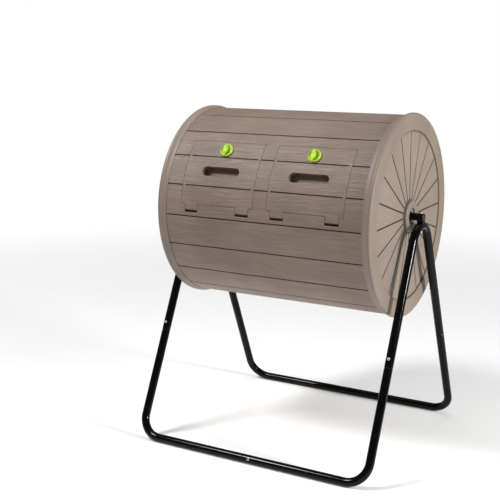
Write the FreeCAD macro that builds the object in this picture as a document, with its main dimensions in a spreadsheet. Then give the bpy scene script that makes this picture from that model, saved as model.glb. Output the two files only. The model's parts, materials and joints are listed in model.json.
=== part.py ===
import FreeCAD, Part
import math
import os
import re

import Sketcher
from FreeCAD import Placement, Rotation, Vector

# Compost tumbler: a two-chamber drum of moulded planks on a fixed axle,
# carried by two bent tube frames joined along the ground.
# Millimetres. X runs along the axle, the doors face -Y, Z is up and the
# tubes rest on z = 0. Angles round the drum start at the front horizon
# (straight towards -Y) and grow upwards.

SIZES = [
    # drum
    ("drum_length", 689.0),
    ("drum_radius", 300.0),
    ("axle_height", 713.0),
    ("shell_wall", 4.0),
    ("groove_width", 4.0),
    ("groove_depth", 2.5),
    ("groove_floor", 2.4),
    ("seam_angle", -2.0),
    ("flange_depth", 12.0),
    ("flange_wall", 3.0),
    ("divider_wall", 3.0),
    ("divider_play", 0.1),
    ("divider_edge_gap", 0.3),
    ("divider_bore_gap", 2.0),
    ("notch_gap", 1.0),
    # end caps
    ("cap_lip", 7.0),
    ("cap_band", 27.0),
    ("cap_wall", 4.0),
    ("cap_skin", 1.5),
    ("ring_wall", 7.0),
    ("ring_width", 50.0),
    ("ring_round", 5.0),
    ("lip_start", 1.5),
    ("lip_flat", 1.0),
    ("lip_land", 10.0),
    ("recess_depth", 4.0),
    ("spoke_width", 3.0),
    ("spoke_depth", 2.0),
    ("spoke_margin", 1.5),
    ("hub_radius", 46.0),
    ("hub_height", 10.0),
    ("well_radius", 24.0),
    ("well_depth", 6.0),
    ("hub_inside", 17.0),
    # axle
    ("axle_radius", 11.0),
    ("axle_wall", 2.0),
    ("axle_overhang", 10.0),
    ("plug_head", 2.0),
    ("plug_bevel", 1.0),
    ("plug_stem", 4.0),
    ("plug_play", 0.05),
    ("bushing_wall", 4.0),
    ("bushing_flange", 3.0),
    ("bushing_play", 0.05),
    # doors
    ("door_width", 241.0),
    ("door_spacing", 45.0),
    ("door_low_angle", 5.4),
    ("door_high_angle", 44.5),
    ("door_gap", 0.9),
    ("door_low_gap", 1.3),
    ("door_relief", 1.5),
    ("door_border", 8.5),
    ("mouth_inset", 7.0),
    ("rim_low_inset", 8.4),
    ("rim_gap", 0.5),
    ("hinge_angle", 2.5),
    ("barrel_radius", 7.5),
    ("pin_radius", 2.5),
    ("pin_play", 0.05),
    ("pin_end_gap", 1.2),
    ("boss_flat", 1.0),
    ("middle_boss_half", 10.0),
    ("tab_width", 41.0),
    ("tab_inset", 14.0),
    ("tab_gap", 1.0),
    ("notch_play", 0.2),
    ("slot_length", 125.0),
    ("slot_width", 29.0),
    ("slot_depth", 22.0),
    ("slot_wall", 3.0),
    ("slot_angle", 25.0),
    ("knob_angle", 38.5),
    ("knob_radius", 20.0),
    ("knob_base", 7.0),
    ("knob_round", 2.9),
    ("knob_gap", 0.4),
    ("grip_height", 11.0),
    ("grip_width", 9.0),
    ("shaft_radius", 6.0),
    ("shaft_play", 0.08),
    ("cam_wall", 4.0),
    ("cam_width", 15.0),
    ("cam_hub_radius", 12.0),
    ("cam_overlap", 9.0),
    ("latch_gap", 1.2),
    # stand
    ("tube_radius", 12.7),
    ("tube_wall", 1.5),
    ("foot_spread", 351.0),
    ("bend_radius", 64.0),
    ("frame_clearance", 14.1),
    ("saddle_wall", 3.0),
    ("saddle_length", 18.0),
    ("saddle_edge", 3.3),
    ("saddle_drop", 3.85),
    ("leg_joint_height", 314.0),
    ("base_joint_shift", -8.0),
    ("socket_depth", 45.0),
    ("socket_play", 0.1),
    ("neck_length", 2.5),
    ("joint_gap", 0.4),
    ("button_reach", 24.0),
    ("base_button_shift", 4.0),
    ("button_radius", 4.5),
    ("button_stem", 3.5),
    ("button_length", 4.5),
    ("button_head", 2.2),
    ("button_round", 1.5),
    ("button_gap", 0.35),
    ("bolt_radius", 3.0),
    ("bolt_play", 0.2),
    ("bolt_head_height", 3.9),
    ("bolt_tip", 2.0),
    ("nut_height", 5.1),
    # small screws
    ("screw_radius", 2.0),
    ("screw_head", 4.0),
    ("screw_head_height", 2.4),
    ("screw_play", 0.1),
    ("screw_tip", 3.0),
    ("screw_tip_gap", 1.0),
    ("screw_bite", 8.0),
    ("thread_depth", 10.0),
    # how far a rib runs into its wall, and a cut past what it cuts
    ("merge", 0.5),
    ("beyond", 10.0),
]

PLANKS = 20
PANELS = 5
PANEL_ANGLE = 360 / PANELS
PLANK_ANGLE = 360 / PLANKS
PLANKS_PER_PANEL = PLANKS // PANELS
CAP_SCREWS = 10
DOOR_PLANK_EDGES = 2
SEAM_SCREW_SHARES = (-0.82, -0.3, 0.3, 0.82)
MERGE_ANGLE = 0.5
TOLERANCE = 0.01

doc = FreeCAD.newDocument("compost_tumbler")
sheet = doc.addObject("Spreadsheet::Sheet", "dim")
ALIASES = set()


def add_size(alias, number):
    row = len(ALIASES) + 1
    sheet.set("A%d" % row, alias)
    sheet.set("B%d" % row, repr(float(number)))
    sheet.setAlias("B%d" % row, alias)
    ALIASES.add(alias)


for alias, number in SIZES:
    add_size(alias, number)
doc.recompute()


def bound(text):
    """The same expression with every size name pointing at the sheet."""
    return re.sub(
        r"[a-z][a-z_]*",
        lambda hit: "dim." + hit.group(0) if hit.group(0) in ALIASES else hit.group(0),
        str(text),
    )


def value(text):
    return float(sheet.evalExpression(bound(text)))


def add_derived(alias, text):
    add_size(alias, value(text))
    doc.recompute()


def lean_of_tube(spread, rise, radius):
    """Lean from upright of a line that runs from a foot up to touch an arc."""
    reach = math.hypot(spread, rise)
    return math.degrees(math.atan2(spread, rise) - math.asin(radius / reach))


# Radii of the shell and places that follow from the sizes above.
add_derived("shell_outer", "drum_radius - cap_lip")
add_derived("shell_inner", "shell_outer - shell_wall")
add_derived("cap_inner", "drum_length / 2 - ring_wall")
add_derived("disc_face", "drum_length / 2 - recess_depth")
add_derived("disc_back", "disc_face - cap_wall")
add_derived("hub_face", "disc_face + hub_height")
add_derived("frame_plane", "hub_face + frame_clearance + tube_radius")
add_derived("axle_end", "frame_plane + axle_overhang")
add_derived("cove_run", "cap_band - lip_flat - lip_land")
add_derived("cove_rise", "cap_lip - lip_start")
add_derived("cove_radius", "(cove_run * cove_run + cove_rise * cove_rise) / (2 * cove_rise)")
add_derived("pin_ring", "shell_outer - barrel_radius")
add_derived("door_center", "(door_width + door_spacing) / 2")
add_derived("screw_ring", "shell_inner - flange_depth / 2")
add_derived("lip_face", "shell_inner - rim_gap")
add_derived("lip_back", "lip_face - flange_wall")
add_derived("cam_reach", "(door_high_angle - knob_angle) * pi / 180 * shell_outer + cam_overlap")
add_derived("cam_top", "sqrt(lip_back * lip_back - cam_reach * cam_reach) - latch_gap")
add_derived("apex_top", "axle_height - axle_radius - saddle_wall - tube_radius")
add_derived("apex_middle", "apex_top - bend_radius")
add_derived("nut_drop", "3 * bolt_radius * bolt_radius / bend_radius")
add_derived("swage_radius", "tube_radius - tube_wall - socket_play")
LEG_LEAN = lean_of_tube(
    value("foot_spread"), value("apex_middle - tube_radius"), value("bend_radius")
)
add_size("leg_lean", LEG_LEAN)
doc.recompute()
add_derived("leg_length", "(leg_joint_height - tube_radius) / cos(leg_lean)")
DOOR_PANEL_MIDDLE = value("seam_angle") + PANEL_ANGLE / 2


# ---------------------------------------------------------------- helpers

def new_body(name):
    body = doc.addObject("PartDesign::Body", name)
    body.Label = name
    return body


def origin_part(body, role):
    return [item for item in body.Origin.OriginFeatures if item.Role == role][0]


def new_sketch(body, name, plane, offset=None):
    sketch = body.newObject("Sketcher::SketchObject", name)
    sketch.AttachmentSupport = [(origin_part(body, plane), "")]
    sketch.MapMode = "FlatFace"
    if offset is not None:
        sketch.AttachmentOffset = offset
    return sketch


def fix_point(sketch, geometry, position, x_text, y_text):
    for kind, text in (("DistanceX", x_text), ("DistanceY", y_text)):
        number = sketch.addConstraint(
            Sketcher.Constraint(kind, -1, 1, geometry, position, value(text))
        )
        sketch.setExpression("Constraints[%d]" % number, bound(text))


def fix_radius(sketch, geometry, text):
    number = sketch.addConstraint(Sketcher.Constraint("Radius", geometry, value(text)))
    sketch.setExpression("Constraints[%d]" % number, bound(text))


def outline(body, name, plane, corners, offset=None):
    """Closed straight-sided outline; each corner is a pair of expressions."""
    sketch = new_sketch(body, name, plane, offset)
    points = [Vector(value(x_text), value(y_text), 0) for x_text, y_text in corners]
    count = len(points)
    for index in range(count):
        sketch.addGeometry(Part.LineSegment(points[index], points[(index + 1) % count]))
    for index in range(count):
        sketch.addConstraint(
            Sketcher.Constraint("Coincident", index, 2, (index + 1) % count, 1)
        )
    for index, (x_text, y_text) in enumerate(corners):
        fix_point(sketch, index, 1, x_text, y_text)
    return sketch


def rectangle(body, name, plane, x_low, x_high, y_low, y_high, offset=None):
    corners = [(x_low, y_low), (x_high, y_low), (x_high, y_high), (x_low, y_high)]
    return outline(body, name, plane, corners, offset)


def circles(body, name, plane, centers, radii, offset=None):
    """Circles at the given centers; several radii give rings."""
    sketch = new_sketch(body, name, plane, offset)
    for x_text, y_text in centers:
        for radius in radii:
            middle = Vector(value(x_text), value(y_text), 0)
            circle = Part.Circle(middle, Vector(0, 0, 1), value(radius))
            number = sketch.addGeometry(circle)
            fix_point(sketch, number, 3, x_text, y_text)
            fix_radius(sketch, number, radius)
    return sketch


def stadium(body, name, plane, half_straight, radius, offset):
    """Long hole with round ends, centred on the sketch origin."""
    sketch = new_sketch(body, name, plane, offset)
    half = value(half_straight)
    size = value(radius)
    quarter = math.pi / 2
    up = Vector(0, 0, 1)
    right_circle = Part.Circle(Vector(half, 0, 0), up, size)
    left_circle = Part.Circle(Vector(-half, 0, 0), up, size)
    sketch.addGeometry(Part.ArcOfCircle(right_circle, -quarter, quarter))
    sketch.addGeometry(Part.LineSegment(Vector(half, size, 0), Vector(-half, size, 0)))
    sketch.addGeometry(Part.ArcOfCircle(left_circle, quarter, 3 * quarter))
    sketch.addGeometry(Part.LineSegment(Vector(-half, -size, 0), Vector(half, -size, 0)))
    for index in range(4):
        sketch.addConstraint(
            Sketcher.Constraint("Tangent", index, 2, (index + 1) % 4, 1)
        )
    fix_point(sketch, 0, 3, half_straight, "0")
    fix_point(sketch, 2, 3, "-(%s)" % half_straight, "0")
    fix_radius(sketch, 0, radius)
    return sketch


def spun(body, sketch, name, angle="360", cut=False, both_ways=False):
    """Turn an outline round the X axis, adding or cutting."""
    kind = "PartDesign::Groove" if cut else "PartDesign::Revolution"
    feature = body.newObject(kind, name)
    feature.Profile = sketch
    feature.ReferenceAxis = (sketch, ["H_Axis"])
    feature.Midplane = both_ways
    feature.setExpression("Angle", bound(angle))
    sketch.Visibility = False
    return feature


def pushed(body, sketch, name, length, cut=False, both_ways=False, reverse=False):
    """Push an outline straight, adding or cutting."""
    kind = "PartDesign::Pocket" if cut else "PartDesign::Pad"
    feature = body.newObject(kind, name)
    feature.Profile = sketch
    feature.Midplane = both_ways
    feature.Reversed = reverse
    feature.setExpression("Length", bound(length))
    sketch.Visibility = False
    return feature


def repeated(body, feature, name, angle, count):
    """Repeat a feature round the X axis."""
    pattern = body.newObject("PartDesign::PolarPattern", name)
    pattern.Originals = [feature]
    pattern.Axis = (origin_part(body, "X_Axis"), [""])
    pattern.Angle = angle
    pattern.Occurrences = count
    body.Tip = pattern
    return pattern


def rounded(body, name, radius, wanted):
    """Round the circular edges whose (x, radius) pairs are listed."""
    doc.recompute()
    base = body.Tip
    names = []
    for number, edge in enumerate(base.Shape.Edges, 1):
        curve = edge.Curve
        if not isinstance(curve, Part.Circle):
            continue
        for x_text, radius_text in wanted:
            same_place = abs(curve.Center.x - value(x_text)) < TOLERANCE
            if same_place and abs(curve.Radius - value(radius_text)) < TOLERANCE:
                names.append("Edge%d" % number)
    feature = body.newObject("PartDesign::Fillet", name)
    feature.Base = (base, names)
    feature.setExpression("Radius", bound(radius))
    body.Tip = feature
    return feature


def turned(angle):
    """Sketch plane turned round X, from straight up towards the front."""
    return Placement(Vector(0, 0, 0), Rotation(Vector(1, 0, 0), angle))


def turned_flat(angle):
    """The same turn for a sketch that already faces along X."""
    return Placement(Vector(0, 0, 0), Rotation(Vector(0, 0, 1), angle))


def raised(angle, height):
    """Plane square to a radius of the drum, at the given distance out."""
    return turned(angle).multiply(Placement(Vector(0, 0, height), Rotation()))


def shifted(distance):
    return Placement(Vector(0, 0, distance), Rotation())


def on_drum(body, front_angle=90.0, x_text="0", flipped=False):
    """Place a part whose local top ends up at the given angle of the drum."""
    turn = Rotation(Vector(-1, 0, 0), front_angle - 90.0)
    if flipped:
        turn = turn.multiply(Rotation(Vector(0, 0, 1), 180))
    body.Placement = Placement(Vector(value(x_text), 0, value("axle_height")), turn)
    body.setExpression("Placement.Base.x", bound(x_text))
    body.setExpression("Placement.Base.z", bound("axle_height"))


def below_middle(front_angle):
    """Turn from the middle of the door panel down to an angle of the drum."""
    return DOOR_PANEL_MIDDLE - front_angle


def arc_degrees(length):
    """Angle that an arc length covers on the outside of the shell."""
    return math.degrees(value(length) / value("shell_outer"))


# ---------------------------------------------------------------- end caps

def end_cap(name, flipped):
    """Moulded disc: raised ring, sunk face with twenty spokes, and a hub."""
    body = new_body(name)
    half = "drum_length / 2"
    wall_ring = "drum_radius - ring_width"
    profile = outline(body, name + "_profile", "XZ_Plane", [
        (half + " - cap_band", "shell_outer"),
        (half + " - cap_band", "drum_radius"),
        (half, "drum_radius"),
        (half, wall_ring),
        ("disc_face", wall_ring),
        ("disc_face", "hub_radius"),
        ("hub_face", "hub_radius"),
        ("hub_face", "well_radius"),
        ("hub_face - well_depth", "well_radius"),
        ("hub_face - well_depth", "axle_radius + bushing_wall"),
        ("disc_back - hub_inside", "axle_radius + bushing_wall"),
        ("disc_back - hub_inside", "well_radius"),
        ("disc_back", "well_radius"),
        ("disc_back", wall_ring + " + cap_wall"),
        ("cap_inner", wall_ring + " + cap_wall"),
        ("cap_inner", "shell_outer"),
    ])
    spun(body, profile, name + "_disc")
    rounded(body, name + "_rim", "ring_round", [(half, "drum_radius")])
    cove = circles(
        body, name + "_cove", "XZ_Plane",
        [(half + " - cap_band + lip_flat", "shell_outer + lip_start + cove_radius")],
        ["cove_radius"],
    )
    spun(body, cove, name + "_cove_cut", cut=True)
    rounded(body, name + "_soft", "ring_round / 3", [(half, wall_ring)])
    rounded(body, name + "_hub_soft", "hub_height / 3", [
        ("hub_face", "hub_radius"),
        ("hub_face", "well_radius"),
    ])
    spoke = rectangle(
        body, name + "_spoke", "YZ_Plane",
        "-spoke_width / 2", "spoke_width / 2",
        "hub_radius + spoke_margin", wall_ring + " - spoke_margin",
        shifted(value("disc_face")),
    )
    first = pushed(body, spoke, name + "_spoke_cut", "spoke_depth", cut=True)
    repeated(body, first, name + "_spokes", 360, PLANKS)
    hole = circles(
        body, name + "_hole", "YZ_Plane", [("0", "screw_ring")],
        ["screw_radius + screw_play"], shifted(value("cap_inner")),
    )
    first = pushed(
        body, hole, name + "_hole_cut", "ring_wall - cap_skin", cut=True, reverse=True
    )
    repeated(body, first, name + "_holes", 360, CAP_SCREWS)
    on_drum(body, DOOR_PANEL_MIDDLE + 3 * PLANK_ANGLE, "0", flipped)
    return body


def hub_bushing(name, flipped):
    """Flanged sleeve pressed into the hub; it turns on the axle."""
    body = new_body(name)
    profile = outline(body, name + "_profile", "XZ_Plane", [
        ("hub_face - well_depth", "axle_radius + bushing_play"),
        ("hub_face - well_depth", "axle_radius + bushing_wall"),
        ("disc_back - hub_inside", "axle_radius + bushing_wall"),
        ("disc_back - hub_inside", "well_radius - bushing_flange"),
        ("disc_back - hub_inside - bushing_flange", "well_radius - bushing_flange"),
        ("disc_back - hub_inside - bushing_flange", "axle_radius + bushing_play"),
    ])
    spun(body, profile, name + "_sleeve")
    on_drum(body, 90.0, "0", flipped)
    return body


# ------------------------------------------------------------- drum shell

def panel_profile(body, name):
    """Section of a panel: wall, two end flanges, and a track for the divider."""
    track = "divider_wall / 2 + divider_play"
    top = "shell_outer"
    inner = "shell_inner"
    flange = "shell_inner - flange_depth"
    rib = "shell_inner - flange_depth / 2"
    return outline(body, name + "_profile", "XZ_Plane", [
        ("-cap_inner", top),
        ("-cap_inner", flange),
        ("-cap_inner + flange_wall", flange),
        ("-cap_inner + flange_wall", inner),
        ("-(%s) - flange_wall" % track, inner),
        ("-(%s) - flange_wall" % track, rib),
        ("-(%s)" % track, rib),
        ("-(%s)" % track, inner),
        (track, inner),
        (track, rib),
        (track + " + flange_wall", rib),
        (track + " + flange_wall", inner),
        ("cap_inner - flange_wall", inner),
        ("cap_inner - flange_wall", flange),
        ("cap_inner", flange),
        ("cap_inner", top),
    ])


def seam_screw_places():
    """Places along a seam where one panel is screwed to the next."""
    return ["cap_inner * %s" % share for share in SEAM_SCREW_SHARES]


def panel_flange(body, name, side):
    """Inward flange along one long edge, with its row of screw holes."""
    plane = turned(side * PANEL_ANGLE / 2)
    strip = rectangle(
        body, name + "_strip", "XZ_Plane",
        "-cap_inner + flange_wall / 2", "cap_inner - flange_wall / 2",
        "shell_inner - flange_depth", "shell_inner + merge", plane,
    )
    pushed(body, strip, name, "flange_wall", reverse=side > 0)
    row = circles(
        body, name + "_row", "XZ_Plane",
        [(place, "screw_ring") for place in seam_screw_places()],
        ["screw_radius + screw_play"], plane,
    )
    pushed(body, row, name + "_row_cut", "4 * flange_wall", cut=True, both_ways=True)


def groove_outline(body, name, offset):
    """Section of a plank groove: sloping sides and a narrow flat floor."""
    return outline(body, name, "YZ_Plane", [
        ("-groove_width + groove_floor / 2", "shell_outer + groove_depth"),
        ("groove_width - groove_floor / 2", "shell_outer + groove_depth"),
        ("groove_floor / 2", "shell_outer - groove_depth"),
        ("-groove_floor / 2", "shell_outer - groove_depth"),
    ], offset)


def plank_grooves(body, name, length):
    """Grooves that split the outside of a panel into planks."""
    half_angle = PANEL_ANGLE / 2
    vee = groove_outline(body, name + "_vee", turned_flat(-half_angle))
    first = pushed(body, vee, name + "_vee_cut", length, cut=True, both_ways=True)
    repeated(body, first, name + "_planks", PANEL_ANGLE, PLANKS_PER_PANEL + 1)


def end_flange_holes(body, name):
    """Holes for the screws that hold the panel to the two end caps."""
    half_step = 180 / CAP_SCREWS
    for tag, turn in (("low", half_step), ("high", -half_step)):
        hole = circles(
            body, name + "_" + tag, "YZ_Plane", [("0", "screw_ring")],
            ["screw_radius + screw_play"], turned_flat(turn),
        )
        pushed(
            body, hole, name + "_" + tag + "_cut", "2 * cap_inner + beyond",
            cut=True, both_ways=True,
        )


def panel_base(name):
    body = new_body(name)
    profile = panel_profile(body, name)
    spun(body, profile, name + "_wall", str(PANEL_ANGLE), both_ways=True)
    panel_flange(body, name + "_low_flange", 1)
    panel_flange(body, name + "_high_flange", -1)
    plank_grooves(body, name, "2 * cap_inner + beyond")
    end_flange_holes(body, name)
    return body


def sector(body, name, x_low, x_high, r_low, r_high, top_angle, low_angle, cut):
    """Block bent round the drum between two angles of the drum."""
    block = rectangle(
        body, name + "_block", "XZ_Plane", x_low, x_high, r_low, r_high,
        turned(below_middle(top_angle)),
    )
    return spun(body, block, name, str(top_angle - low_angle), cut=cut)


def door_seat(body, name, middle):
    """Rim behind one door, the mouth it covers, and its hinge notches."""
    gap = arc_degrees("door_gap")
    low_gap = arc_degrees("door_low_gap")
    inset = arc_degrees("mouth_inset")
    high = value("door_high_angle")
    low = value("door_low_angle")
    hinge = value("hinge_angle")
    half = "door_width / 2"
    sector(
        body, name + "_rim",
        "%s - %s - mouth_inset" % (middle, half), "%s + %s + mouth_inset" % (middle, half),
        "lip_back", "shell_inner + merge", high + inset,
        low + arc_degrees("rim_low_inset"), False,
    )
    sector(
        body, name + "_outline",
        "%s - %s - door_gap" % (middle, half), "%s + %s + door_gap" % (middle, half),
        "lip_face", "shell_outer + beyond", high + gap, low - low_gap, True,
    )
    sector(
        body, name + "_mouth",
        "%s - %s + mouth_inset" % (middle, half), "%s + %s - mouth_inset" % (middle, half),
        "lip_back - beyond", "shell_outer + beyond", high - inset, low - low_gap, True,
    )
    notch_low = hinge - arc_degrees("barrel_radius * sqrt(2) + notch_play")
    boss_high = hinge + arc_degrees("barrel_radius")
    boss_low = hinge - arc_degrees("barrel_radius")
    for tag, side in (("a", "-1"), ("b", "1")):
        outer = "%s + %s * (%s - tab_inset + tab_gap)" % (middle, side, half)
        inner = "%s + %s * (%s - tab_inset - tab_width - tab_gap)" % (middle, side, half)
        edge = "%s + %s * (%s - tab_gap)" % (middle, side, half)
        notch_ends = sorted([inner, outer], key=value)
        boss_ends = sorted([outer, edge], key=value)
        sector(
            body, name + "_notch_" + tag, notch_ends[0], notch_ends[1],
            "shell_inner - flange_depth", "shell_outer + beyond", low + MERGE_ANGLE,
            notch_low, True,
        )
        sector(
            body, name + "_boss_" + tag, boss_ends[0], boss_ends[1],
            "pin_ring - barrel_radius + boss_flat", "shell_inner + merge",
            boss_high, boss_low, False,
        )
    sector(
        body, name + "_boss_c", middle + " - middle_boss_half", middle + " + middle_boss_half",
        "pin_ring - barrel_radius + boss_flat", "shell_inner + merge",
            boss_high, boss_low, False,
    )


def door_panel():
    """Panel with the two door mouths and the bosses that hold the pins."""
    body = panel_base("door_panel")
    door_seat(body, "left_seat", "-door_center")
    door_seat(body, "right_seat", "door_center")
    for tag, middle in (("left", "-door_center"), ("right", "door_center")):
        plane = turned_flat(below_middle(value("hinge_angle")))
        plane = plane.multiply(shifted(value(middle)))
        bore = circles(
            body, "pin_bore_" + tag, "YZ_Plane", [("0", "pin_ring")], ["pin_radius"], plane
        )
        pushed(body, bore, "pin_bore_cut_" + tag, "door_width", cut=True, both_ways=True)
    on_drum(body, DOOR_PANEL_MIDDLE)
    return body


def plain_panel(name, step):
    body = panel_base(name)
    on_drum(body, DOOR_PANEL_MIDDLE + step * PANEL_ANGLE)
    return body


def divider():
    """Disc that splits the drum into two chambers; notched at the seams."""
    body = new_body("chamber_divider")
    disc = rectangle(
        body, "divider_profile", "XZ_Plane", "-divider_wall / 2", "divider_wall / 2",
        "axle_radius + divider_bore_gap", "shell_inner - divider_edge_gap",
    )
    spun(body, disc, "divider_disc")
    notch = rectangle(
        body, "divider_notch", "YZ_Plane", "-flange_wall - notch_gap", "flange_wall + notch_gap",
        "shell_inner - flange_depth - notch_gap", "shell_inner + beyond",
    )
    first = pushed(body, notch, "divider_notch_cut", "divider_wall + beyond", True, True)
    repeated(body, first, "divider_notches", 360, PANELS)
    on_drum(body, DOOR_PANEL_MIDDLE + PANEL_ANGLE / 2)
    return body


# ------------------------------------------------------------------ doors

def door(name, middle):
    """Curved door with hinge tabs, a hand slot and plank grooves."""
    body = new_body(name)
    high = value("door_high_angle")
    low = value("door_low_angle")
    hinge = value("hinge_angle")
    half = "door_width / 2"
    sector(
        body, name + "_skin", "-" + half, half, "shell_inner", "shell_outer",
        high, low, False,
    )
    sector(
        body, name + "_relief", "-%s - beyond" % half, half + " + beyond",
        "shell_inner - beyond", "shell_inner + shell_wall / 2",
        low + arc_degrees("door_relief"), low - MERGE_ANGLE, True,
    )
    barrel_turn = turned_flat(below_middle(hinge))
    for tag, start in (("a", "-%s + tab_inset" % half),
                       ("b", "%s - tab_inset - tab_width" % half)):
        sector(
            body, name + "_tab_" + tag, start, start + " + tab_width",
            "shell_inner", "shell_outer", low + MERGE_ANGLE, hinge, False,
        )
        barrel_plane = barrel_turn.multiply(shifted(value(start)))
        barrel = circles(
            body, name + "_barrel_" + tag, "YZ_Plane", [("0", "pin_ring")],
            ["barrel_radius"], barrel_plane,
        )
        pushed(body, barrel, name + "_barrel_pad_" + tag, "tab_width")
    bore = circles(
        body, name + "_bore", "YZ_Plane", [("0", "pin_ring")],
        ["pin_radius + pin_play"], barrel_turn,
    )
    pushed(body, bore, name + "_bore_cut", "door_width + beyond", cut=True, both_ways=True)
    slot_turn = below_middle(value("slot_angle"))
    floor = value("shell_outer - slot_depth")
    straight = "(slot_length - slot_width) / 2"
    cup = stadium(
        body, name + "_cup", "XY_Plane", straight, "slot_width / 2 + slot_wall",
        raised(slot_turn, floor - value("slot_wall")),
    )
    pushed(body, cup, name + "_cup_pad", "slot_depth + slot_wall - shell_wall / 2")
    hollow = stadium(
        body, name + "_hollow", "XY_Plane", straight, "slot_width / 2",
        raised(slot_turn, floor),
    )
    pushed(body, hollow, name + "_hollow_cut", "slot_depth + beyond", cut=True, reverse=True)
    knob_hole = circles(
        body, name + "_knob_hole", "XY_Plane", [("0", "0")],
        ["shaft_radius + shaft_play"],
        raised(below_middle(value("knob_angle")), value("shell_inner - beyond")),
    )
    pushed(body, knob_hole, name + "_knob_cut", "shell_wall + 2 * beyond", cut=True, reverse=True)
    for edge in range(DOOR_PLANK_EDGES):
        angle = value("seam_angle") + (edge + 1) * PLANK_ANGLE
        vee = groove_outline(
            body, "%s_vee_%d" % (name, edge), turned_flat(below_middle(angle))
        )
        pushed(
            body, vee, "%s_vee_cut_%d" % (name, edge), "door_width - 2 * door_border",
            cut=True, both_ways=True,
        )
    on_drum(body, DOOR_PANEL_MIDDLE, middle)
    return body


def hinge_pin(name, middle):
    """Rod through the bosses of the panel and the barrels of one door."""
    body = new_body(name)
    rod = circles(
        body, name + "_section", "YZ_Plane", [("0", "pin_ring")], ["pin_radius"],
        turned_flat(below_middle(value("hinge_angle"))),
    )
    pushed(body, rod, name + "_rod", "door_width - 2 * pin_end_gap", both_ways=True)
    on_drum(body, DOOR_PANEL_MIDDLE, middle)
    return body


def on_knob_axis(body, middle):
    """Place a part whose local Z is the radius through the knob."""
    on_drum(body, value("knob_angle"), middle)


def round_top(body, name, radius):
    """Round the edges of the highest flat face."""
    doc.recompute()
    base = body.Tip
    top = base.Shape.BoundBox.ZMax
    names = []
    for number, edge in enumerate(base.Shape.Edges, 1):
        if edge.BoundBox.ZMin > top - TOLERANCE:
            names.append("Edge%d" % number)
    feature = body.newObject("PartDesign::Fillet", name)
    feature.Base = (base, names)
    feature.setExpression("Radius", bound(radius))
    body.Tip = feature


def knob(name, middle):
    """Round knob with a raised grip, on a shaft that passes the door."""
    body = new_body(name)
    seat = value("shell_outer + knob_gap")
    base = circles(
        body, name + "_base", "XY_Plane", [("0", "0")], ["knob_radius"], shifted(seat)
    )
    pushed(body, base, name + "_base_pad", "knob_base")
    round_top(body, name + "_rim", "knob_round")
    grip = stadium(
        body, name + "_grip", "XY_Plane",
        "knob_radius - grip_width", "grip_width / 2",
        Placement(Vector(0, 0, seat), Rotation(Vector(0, 0, 1), 90)),
    )
    pushed(body, grip, name + "_grip_pad", "knob_base + grip_height")
    round_top(body, name + "_soft", "grip_width / 4")
    shaft = circles(
        body, name + "_shaft", "XY_Plane", [("0", "0")], ["shaft_radius"],
        shifted(seat + value("merge")),
    )
    pushed(
        body, shaft, name + "_shaft_pad", "shell_outer + knob_gap + merge - cam_top",
        reverse=True,
    )
    thread = circles(
        body, name + "_thread", "XY_Plane", [("0", "0")], ["screw_radius + screw_play"],
        shifted(value("cam_top")),
    )
    pushed(body, thread, name + "_thread_cut", "thread_depth", cut=True, reverse=True)
    on_knob_axis(body, middle)
    return body


def latch_cam(name, middle):
    """Arm behind the door; it points sideways when the latch is free."""
    body = new_body(name)
    floor = value("cam_top - cam_wall")
    arm = rectangle(
        body, name + "_arm", "XY_Plane", "0", "cam_reach", "-cam_width / 2",
        "cam_width / 2", shifted(floor),
    )
    pushed(body, arm, name + "_arm_pad", "cam_wall")
    hub = circles(
        body, name + "_hub", "XY_Plane", [("0", "0")], ["cam_hub_radius"], shifted(floor)
    )
    pushed(body, hub, name + "_hub_pad", "shell_inner - latch_gap - cam_top + cam_wall")
    socket = circles(
        body, name + "_socket", "XY_Plane", [("0", "0")], ["shaft_radius"],
        shifted(value("cam_top")),
    )
    pushed(
        body, socket, name + "_socket_cut", "shell_wall + 3 * beyond", cut=True, reverse=True
    )
    hole = circles(
        body, name + "_hole", "XY_Plane", [("0", "0")], ["screw_radius + screw_play"],
        shifted(floor - value("beyond")),
    )
    pushed(
        body, hole, name + "_hole_cut", "cam_wall + 2 * beyond", cut=True, reverse=True
    )
    on_knob_axis(body, middle)
    return body


def latch_screw(name, middle):
    """Screw that holds the latch arm to the knob shaft."""
    body = new_body(name)
    floor = value("cam_top - cam_wall")
    head = circles(
        body, name + "_head", "XY_Plane", [("0", "0")], ["screw_head"], shifted(floor)
    )
    pushed(body, head, name + "_head_pad", "screw_head_height", reverse=True)
    shank = circles(
        body, name + "_shank", "XY_Plane", [("0", "0")], ["screw_radius"],
        shifted(floor - value("merge")),
    )
    pushed(body, shank, name + "_shank_pad", "merge + cam_wall + screw_bite")
    on_knob_axis(body, middle)
    return body


# ------------------------------------------------------------------ screws

def pan_screw(length):
    """Round-headed screw along Z; the head sits below z = 0."""
    head_height = value("screw_head_height")
    shank = Part.makeCylinder(value("screw_radius"), length)
    head = Part.makeCylinder(
        value("screw_head"), head_height, Vector(0, 0, -head_height)
    )
    screw = head.fuse(shank).removeSplitter()
    rim = [edge for edge in screw.Edges if edge.BoundBox.ZMax < -head_height + TOLERANCE]
    return screw.makeFillet(head_height / 2, rim)


def group(name, shapes):
    """One node that holds several equal pieces."""
    feature = doc.addObject("Part::Feature", name)
    feature.Label = name
    feature.Shape = Part.makeCompound(shapes)
    return feature


def moved(shape, *placements):
    total = Placement()
    for step in placements:
        total = total.multiply(step)
    copy = shape.copy()
    copy.Placement = total.multiply(copy.Placement)
    return copy


def drum_turn(front_angle):
    turn = Rotation(Vector(-1, 0, 0), front_angle - 90.0)
    return Placement(Vector(0, 0, value("axle_height")), turn)


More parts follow.
